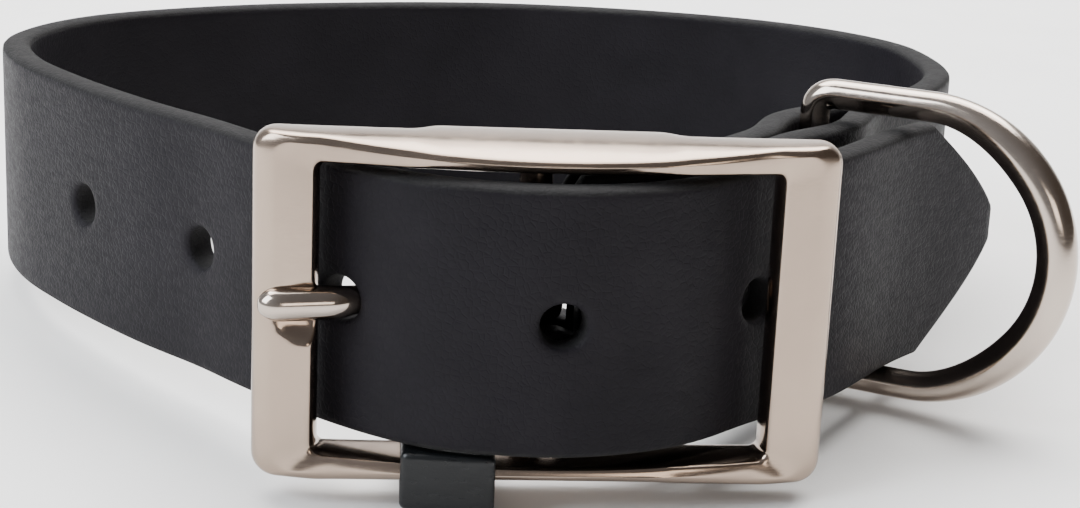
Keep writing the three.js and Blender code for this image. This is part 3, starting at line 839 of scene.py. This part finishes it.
def nickel_material(name, tint, roughness):
    """Satin nickel: soft cloudy tone, fine rubbed scratches and a slightly cast surface."""
    n = Nodes(name)
    place = n.new("TexCoord").outputs["Object"]
    cloud = n.noise(place, 55, 4)
    rubbed = n.noise(n.scaled(place, (1, 1, 9)), 700, 3, 0.6)
    spots = n.noise(place, 900, 2, 0.6)

    tone = n.span(cloud, 0.35, 0.7, 0, 1)
    n.join(n.mixed(tone, tuple(v * 0.82 for v in tint), tint), n.surface.inputs["Base Color"])
    n.surface.inputs["Metallic"].default_value = 1

    cloudy = n.span(cloud, 0.3, 0.7, -0.05, 0.06)
    worn = n.math("ADD", cloudy, n.span(rubbed, 0.3, 0.7, -0.04, 0.06))
    n.join(n.math("ADD", worn, roughness), n.surface.inputs["Roughness"])

    cast = n.bump(n.noise(place, 160, 2), 0.06, 0.0005)
    n.join(n.bump(spots, 0.02, 0.00003, cast), n.surface.inputs["Normal"])
    return n.material


def floor_material():
    n = Nodes("pale_floor")
    place = n.new("TexCoord").outputs["Object"]
    tone = n.span(n.noise(place, 30, 3), 0.35, 0.65, 0, 1)
    n.join(n.mixed(tone, (0.87, 0.86, 0.85), (0.9, 0.89, 0.88)), n.surface.inputs["Base Color"])
    n.surface.inputs["Roughness"].default_value = 0.75
    return n.material


def panel(name, place, aim, size, strength, tint):
    light = bpy.data.lights.new(name, "AREA")
    light.shape = "RECTANGLE"
    light.size, light.size_y = size
    light.energy = strength
    light.color = tint
    lamp = bpy.data.objects.new(name, light)
    lamp.location = place
    lamp.rotation_euler = (Vector(aim) - Vector(place)).to_track_quat("-Z", "Y").to_euler()
    bpy.context.collection.objects.link(lamp)


def sweep():
    """A pale floor that curves up behind into a backdrop."""
    mesh = bpy.data.meshes.new("floor")
    profile = [(FLOOR_FRONT, 0), (FLOOR_BACK, 0)]
    for a in np.linspace(0.1, math.pi / 2, 12):
        rise = BACKDROP_RADIUS - BACKDROP_RADIUS * math.cos(a)
        profile.append((FLOOR_BACK + BACKDROP_RADIUS * math.sin(a), rise))
    profile.append((FLOOR_BACK + BACKDROP_RADIUS, BACKDROP_TOP))
    sides = (-FLOOR_HALF_WIDTH, FLOOR_HALF_WIDTH)
    points = [(x, y, z - FLOOR_DROP) for x in sides for y, z in profile]
    n = len(profile)
    mesh.from_pydata(points, [], [(i, n + i, n + i + 1, i + 1) for i in range(n - 1)])
    mesh.shade_smooth()
    made = bpy.data.objects.new("floor", mesh)
    bpy.context.collection.objects.link(made)
    made.data.materials.append(floor_material())


def room_light():
    """A room with its window on the left: bright and cool there, dim and warm on the right."""
    world = bpy.data.worlds.new("studio")
    bpy.context.scene.world = world
    world.use_nodes = True
    tree = world.node_tree
    background = tree.nodes["Background"]
    side = tree.nodes.new("ShaderNodeSeparateXYZ")
    tree.links.new(tree.nodes.new("ShaderNodeTexCoord").outputs["Generated"], side.inputs[0])
    share = tree.nodes.new("ShaderNodeMapRange")
    share.inputs["From Min"].default_value = -0.9
    share.inputs["From Max"].default_value = 0.9
    tree.links.new(side.outputs["X"], share.inputs["Value"])
    blend = tree.nodes.new("ShaderNodeMix")
    blend.data_type = "RGBA"
    blend.inputs["A"].default_value = WINDOW_SIDE
    blend.inputs["B"].default_value = DIM_SIDE
    tree.links.new(share.outputs["Result"], blend.inputs["Factor"])
    tree.links.new(blend.outputs["Result"], background.inputs["Color"])
    background.inputs["Strength"].default_value = ROOM_STRENGTH


def place_camera():
    lens = bpy.data.cameras.new("camera")
    camera = bpy.data.objects.new("camera", lens)
    bpy.context.collection.objects.link(camera)
    level = Vector((1, 0, 0))
    look = Vector((0, math.cos(CAMERA_PITCH), -math.sin(CAMERA_PITCH)))
    rise = Vector((0, math.sin(CAMERA_PITCH), math.cos(CAMERA_PITCH)))
    right = level * math.cos(CAMERA_ROLL) + rise * math.sin(CAMERA_ROLL)
    up = rise * math.cos(CAMERA_ROLL) - level * math.sin(CAMERA_ROLL)
    turned = Matrix((right, up, -look)).transposed().to_4x4()
    camera.matrix_world = Matrix.Translation(CAMERA_PLACE) @ turned
    lens.lens = LENS_LENGTH
    lens.shift_x, lens.shift_y = LENS_SHIFT
    lens.clip_start = 0.01
    bpy.context.scene.camera = camera


black = leather_material(
    "black_leather", face=(0.006, 0.0052, 0.007), face_light=(0.0102, 0.009, 0.0115),
    edge=(0.022, 0.0215, 0.022), roughness=0.57, shine=0.12, pebble=0.3,
)
glossy = leather_material(
    "keeper_leather", face=(0.004, 0.0045, 0.005), face_light=(0.007, 0.008, 0.009),
    edge=(0.012, 0.012, 0.013), roughness=0.3, shine=0.3, pebble=0.04,
)
nickel = nickel_material("warm_nickel", (0.385, 0.3, 0.238), 0.17)
ring_nickel = nickel_material("ring_nickel", (0.5, 0.425, 0.365), 0.14)

build_strap(black)
build_frame(nickel)
build_prong(ring_nickel)
build_ring(ring_nickel)
build_keeper(glossy)
finish_rivets(nickel)

sweep()
for settings in PANELS:
    panel(*settings)
room_light()
place_camera()
